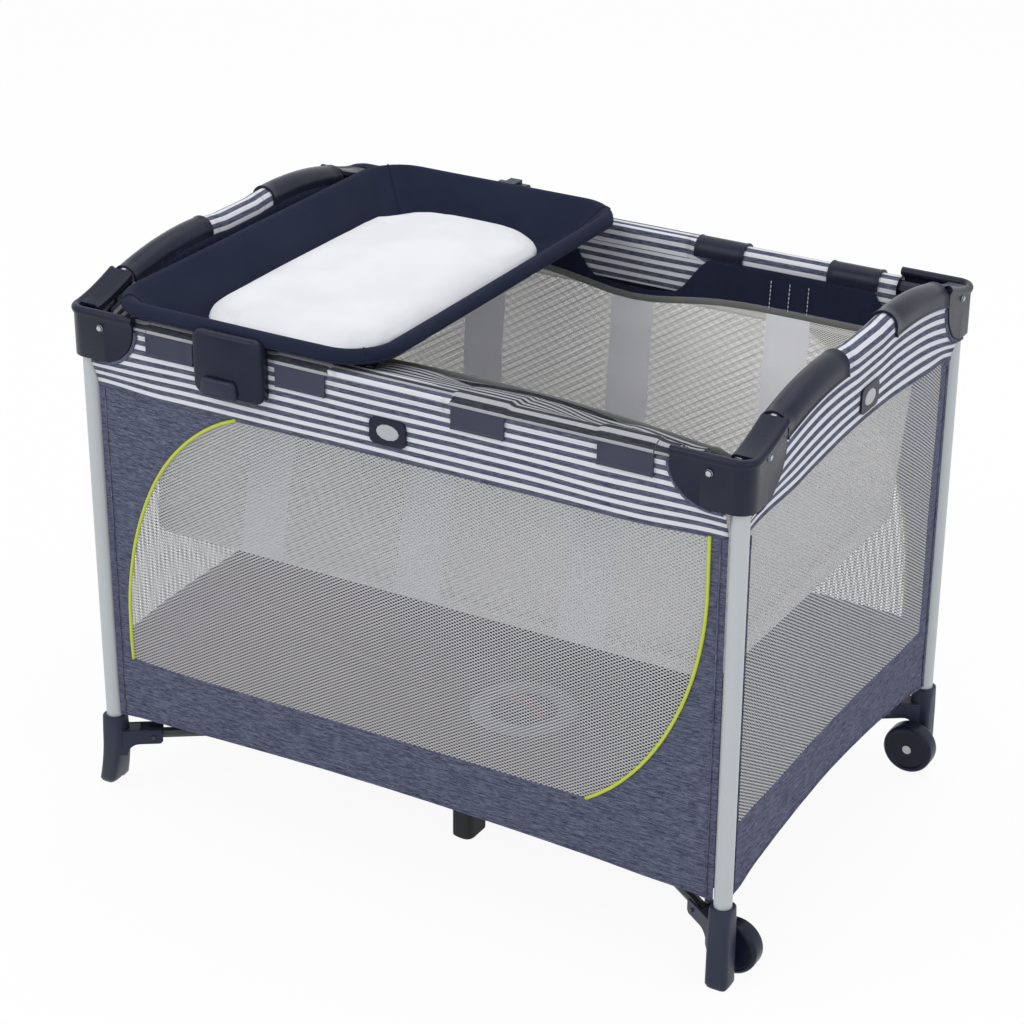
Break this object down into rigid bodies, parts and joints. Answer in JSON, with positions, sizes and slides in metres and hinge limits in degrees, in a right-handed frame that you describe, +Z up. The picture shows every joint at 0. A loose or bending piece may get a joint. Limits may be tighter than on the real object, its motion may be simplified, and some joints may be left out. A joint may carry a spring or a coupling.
{
  "type": "travel play yard",
  "caption": "Folding travel cot on corner posts with fabric and mesh walls, centre-fold rails, hub floor frame, hanging bassinet and flip-away changer tray.",
  "frame": {"origin": "on the floor, at the middle of the bounding box's base, under the floor hub", "axes": "+X along the long sides towards the wheels, -Y to the front with the changer's latch, +Z up"},
  "size_m": [1.077, 0.7772, 0.8235],
  "materials": {
    "navy_plastic": "moulded plastic with a fine satin grain",
    "silver_tube": "satin silver-grey paint on tube",
    "steel_tube": "plain drawn tube",
    "steel": "bright turned steel",
    "grey_button": "satin moulded plastic",
    "black_rubber": "matt black rubber",
    "denim": "heathered denim-look woven cloth with open mesh windows",
    "dark_cloth": "plain dark woven cloth",
    "bassinet_mesh": "fine open mesh",
    "mattress_cloth": "plain woven cover over a thin pad",
    "navy_cloth": "plain navy woven cloth",
    "white_cloth": "soft white knitted pile",
    "red_webbing": "woven webbing"
  },
  "bodies": {
    "front_left_frame": {"post_front_left": "silver_tube", "cap_front_left": "navy_plastic", "foot_front_left": "navy_plastic", "wall_front": "denim", "wall_left": "denim", "floor_panel": "dark_cloth"},
    "front_rail_left": {"rail_front_left": "steel_tube"},
    "front_lock": {"lock_front": "navy_plastic"},
    "front_button": {"button_front": "grey_button"},
    "front_rail_right": {"rail_front_right": "steel_tube"},
    "front_right_frame": {"post_front_right": "silver_tube", "cap_front_right": "navy_plastic", "foot_front_right": "navy_plastic", "axle_front": "steel", "wall_right": "denim"},
    "front_wheel": {"wheel_front": "navy_plastic"},
    "left_rail_front": {"rail_left_front": "steel_tube"},
    "left_lock": {"lock_left": "navy_plastic"},
    "left_button": {"button_left": "grey_button"},
    "left_rail_back": {"rail_left_back": "steel_tube"},
    "back_left_frame": {"post_back_left": "silver_tube", "cap_back_left": "navy_plastic", "foot_back_left": "navy_plastic", "wall_back": "denim"},
    "back_rail_left": {"rail_back_left": "steel_tube"},
    "back_lock": {"lock_back": "navy_plastic"},
    "back_button": {"button_back": "grey_button"},
    "back_rail_right": {"rail_back_right": "steel_tube"},
    "back_right_frame": {"post_back_right": "silver_tube", "cap_back_right": "navy_plastic", "foot_back_right": "navy_plastic", "axle_back": "steel"},
    "back_wheel": {"wheel_back": "navy_plastic"},
    "right_rail_front": {"rail_right_front": "steel_tube"},
    "right_lock": {"lock_right": "navy_plastic"},
    "right_button": {"button_right": "grey_button"},
    "right_rail_back": {"rail_right_back": "steel_tube"},
    "floor_leg_front_left": {"floor_leg_front_left": "steel_tube"},
    "floor_leg_front_right": {"floor_leg_front_right": "steel_tube"},
    "floor_leg_back_left": {"floor_leg_back_left": "steel_tube"},
    "floor_leg_back_right": {"floor_leg_back_right": "steel_tube"},
    "hub": {"floor_hub": "navy_plastic", "pull_strap": "red_webbing"},
    "side_leg_front": {"side_leg_front": "black_rubber"},
    "side_leg_back": {"side_leg_back": "black_rubber"},
    "bassinet_unit": {"bassinet": "bassinet_mesh", "bassinet_mattress": "mattress_cloth", "clip_strip_front": "navy_cloth", "clip_strip_back": "navy_cloth", "clip_strip_left": "navy_cloth", "clip_strip_right": "navy_cloth", "changer_hinge_bracket": "navy_plastic"},
    "changer": {"changer_frame": "steel_tube", "changer_cover": "navy_cloth", "changer_pad": "white_cloth", "changer_latch_bracket": "navy_plastic"},
    "latch_tab": {"changer_latch_tab": "navy_plastic"}
  },
  "joints": [
    {"name": "fold", "type": "hinge", "parent": "front_left_frame", "child": "front_rail_left", "pos_m": [-0.465, -0.345, 0.75], "axis": [0, 1, 0], "range_deg": [0, 82], "deforming": ["wall_front", "wall_back", "wall_left", "wall_right", "floor_panel", "bassinet", "bassinet_mattress", "clip_strip_front", "clip_strip_back", "clip_strip_left", "clip_strip_right"]},
    {"name": "front_lock_turn", "type": "hinge", "parent": "front_rail_left", "child": "front_lock", "pos_m": [-0.06645, -0.345, 0.75], "axis": [0, 1, 0], "range_deg": [-82, 0]},
    {"name": "front_rail_right_turn", "type": "hinge", "parent": "front_lock", "child": "front_rail_right", "pos_m": [0.06645, -0.345, 0.75], "axis": [0, 1, 0], "range_deg": [-82, 0]},
    {"name": "front_right_frame_turn", "type": "hinge", "parent": "front_rail_right", "child": "front_right_frame", "pos_m": [0.465, -0.345, 0.75], "axis": [0, 1, 0], "range_deg": [0, 82]},
    {"name": "left_rail_front_turn", "type": "hinge", "parent": "front_left_frame", "child": "left_rail_front", "pos_m": [-0.5, -0.315, 0.764], "axis": [-1, 0, 0], "range_deg": [0, 82]},
    {"name": "left_lock_turn", "type": "hinge", "parent": "left_rail_front", "child": "left_lock", "pos_m": [-0.5, -0.04, 0.764], "axis": [-1, 0, 0], "range_deg": [-82, 0]},
    {"name": "left_rail_back_turn", "type": "hinge", "parent": "left_lock", "child": "left_rail_back", "pos_m": [-0.5, 0.04, 0.764], "axis": [-1, 0, 0], "range_deg": [-82, 0]},
    {"name": "back_left_frame_turn", "type": "hinge", "parent": "left_rail_back", "child": "back_left_frame", "pos_m": [-0.5, 0.315, 0.764], "axis": [-1, 0, 0], "range_deg": [0, 82]},
    {"name": "back_rail_left_turn", "type": "hinge", "parent": "back_left_frame", "child": "back_rail_left", "pos_m": [-0.465, 0.345, 0.75], "axis": [0, 1, 0], "range_deg": [0, 82]},
    {"name": "back_lock_turn", "type": "hinge", "parent": "back_rail_left", "child": "back_lock", "pos_m": [-0.06645, 0.345, 0.75], "axis": [0, 1, 0], "range_deg": [-82, 0]},
    {"name": "back_rail_right_turn", "type": "hinge", "parent": "back_lock", "child": "back_rail_right", "pos_m": [0.06645, 0.345, 0.75], "axis": [0, 1, 0], "range_deg": [-82, 0]},
    {"name": "back_right_frame_turn", "type": "hinge", "parent": "back_rail_right", "child": "back_right_frame", "pos_m": [0.465, 0.345, 0.75], "axis": [0, 1, 0], "range_deg": [0, 82]},
    {"name": "right_rail_front_turn", "type": "hinge", "parent": "front_right_frame", "child": "right_rail_front", "pos_m": [0.5, -0.315, 0.764], "axis": [-1, 0, 0], "range_deg": [0, 82]},
    {"name": "right_lock_turn", "type": "hinge", "parent": "right_rail_front", "child": "right_lock", "pos_m": [0.5, -0.04, 0.764], "axis": [-1, 0, 0], "range_deg": [-82, 0]},
    {"name": "right_rail_back_turn", "type": "hinge", "parent": "back_right_frame", "child": "right_rail_back", "pos_m": [0.5, 0.315, 0.764], "axis": [-1, 0, 0], "range_deg": [-82, 0]},
    {"name": "floor_leg_front_left_turn", "type": "hinge", "parent": "front_left_frame", "child": "floor_leg_front_left", "pos_m": [-0.45473, -0.31376, 0.089], "axis": [0.5679, -0.8231, 0], "range_deg": [0, 82]},
    {"name": "floor_leg_front_right_turn", "type": "hinge", "parent": "front_right_frame", "child": "floor_leg_front_right", "pos_m": [0.45473, -0.31376, 0.089], "axis": [0.5679, 0.8231, 0], "range_deg": [0, 82]},
    {"name": "floor_leg_back_left_turn", "type": "hinge", "parent": "back_left_frame", "child": "floor_leg_back_left", "pos_m": [-0.45473, 0.31376, 0.089], "axis": [-0.5679, -0.8231, 0], "range_deg": [0, 82]},
    {"name": "floor_leg_back_right_turn", "type": "hinge", "parent": "back_right_frame", "child": "floor_leg_back_right", "pos_m": [0.45473, 0.31376, 0.089], "axis": [-0.5679, 0.8231, 0], "range_deg": [0, 82]},
    {"name": "hub_turn", "type": "hinge", "parent": "floor_leg_front_left", "child": "hub", "pos_m": [-0.05618, -0.03876, 0.089], "axis": [0.5679, -0.8231, 0], "range_deg": [-82, 0]},
    {"name": "side_leg_back_turn", "type": "hinge", "parent": "hub", "child": "side_leg_back", "pos_m": [-0.018, 0.045, 0.089], "axis": [-1, 0, 0], "range_deg": [0, 82]},
    {"name": "side_leg_front_turn", "type": "hinge", "parent": "hub", "child": "side_leg_front", "pos_m": [0.018, -0.045, 0.089], "axis": [1, 0, 0], "range_deg": [0, 82]},
    {"name": "bassinet_lift", "type": "slide", "parent": "front_left_frame", "child": "bassinet_unit", "axis": [0, 0, 1], "range_m": [0, 0.5]},
    {"name": "changer_flip", "type": "hinge", "parent": "bassinet_unit", "child": "changer", "pos_m": [-0.24252, 0.3806, 0.779], "axis": [-1, 0, 0], "range_deg": [0, 250]},
    {"name": "latch_tab_lift", "type": "hinge", "parent": "changer", "child": "latch_tab", "pos_m": [-0.25453, -0.3851, 0.7255], "axis": [-1, 0, 0], "range_deg": [0, 30], "stiffness_Nm_per_rad": 0.05},
    {"name": "front_button_press", "type": "slide", "parent": "front_lock", "child": "front_button", "axis": [0, 1, 0], "range_m": [0, 0.006], "stiffness_N_per_m": 600},
    {"name": "back_button_press", "type": "slide", "parent": "back_lock", "child": "back_button", "axis": [0, -1, 0], "range_m": [0, 0.006], "stiffness_N_per_m": 600},
    {"name": "left_button_press", "type": "slide", "parent": "left_lock", "child": "left_button", "axis": [1, 0, 0], "range_m": [0, 0.006], "stiffness_N_per_m": 600},
    {"name": "right_button_press", "type": "slide", "parent": "right_lock", "child": "right_button", "axis": [-1, 0, 0], "range_m": [0, 0.006], "stiffness_N_per_m": 600},
    {"name": "front_wheel_spin", "type": "hinge", "parent": "front_right_frame", "child": "front_wheel", "pos_m": [0.5, -0.304, 0.0395], "axis": [0, 1, 0], "continuous": true},
    {"name": "back_wheel_spin", "type": "hinge", "parent": "back_right_frame", "child": "back_wheel", "pos_m": [0.5, 0.304, 0.0395], "axis": [0, 1, 0], "continuous": true}
  ],
  "couplings": [
    {"joint": "front_lock_turn", "follows": "fold", "ratio": -1},
    {"joint": "front_rail_right_turn", "follows": "fold", "ratio": -1},
    {"joint": "front_right_frame_turn", "follows": "fold", "ratio": 1},
    {"joint": "left_rail_front_turn", "follows": "fold", "ratio": 1},
    {"joint": "left_lock_turn", "follows": "fold", "ratio": -1},
    {"joint": "left_rail_back_turn", "follows": "fold", "ratio": -1},
    {"joint": "back_left_frame_turn", "follows": "fold", "ratio": 1},
    {"joint": "back_rail_left_turn", "follows": "fold", "ratio": 1},
    {"joint": "back_lock_turn", "follows": "fold", "ratio": -1},
    {"joint": "back_rail_right_turn", "follows": "fold", "ratio": -1},
    {"joint": "back_right_frame_turn", "follows": "fold", "ratio": 1},
    {"joint": "right_rail_front_turn", "follows": "fold", "ratio": 1},
    {"joint": "right_lock_turn", "follows": "fold", "ratio": -1},
    {"joint": "right_rail_back_turn", "follows": "fold", "ratio": -1},
    {"joint": "floor_leg_front_left_turn", "follows": "fold", "ratio": 1},
    {"joint": "floor_leg_front_right_turn", "follows": "fold", "ratio": 1},
    {"joint": "floor_leg_back_left_turn", "follows": "fold", "ratio": 1},
    {"joint": "floor_leg_back_right_turn", "follows": "fold", "ratio": 1},
    {"joint": "hub_turn", "follows": "fold", "ratio": -1},
    {"joint": "side_leg_back_turn", "follows": "fold", "ratio": 1},
    {"joint": "side_leg_front_turn", "follows": "fold", "ratio": 1},
    {"joint": "bassinet_lift", "follows": "fold", "m_per_rad": 0.34936}
  ]
}
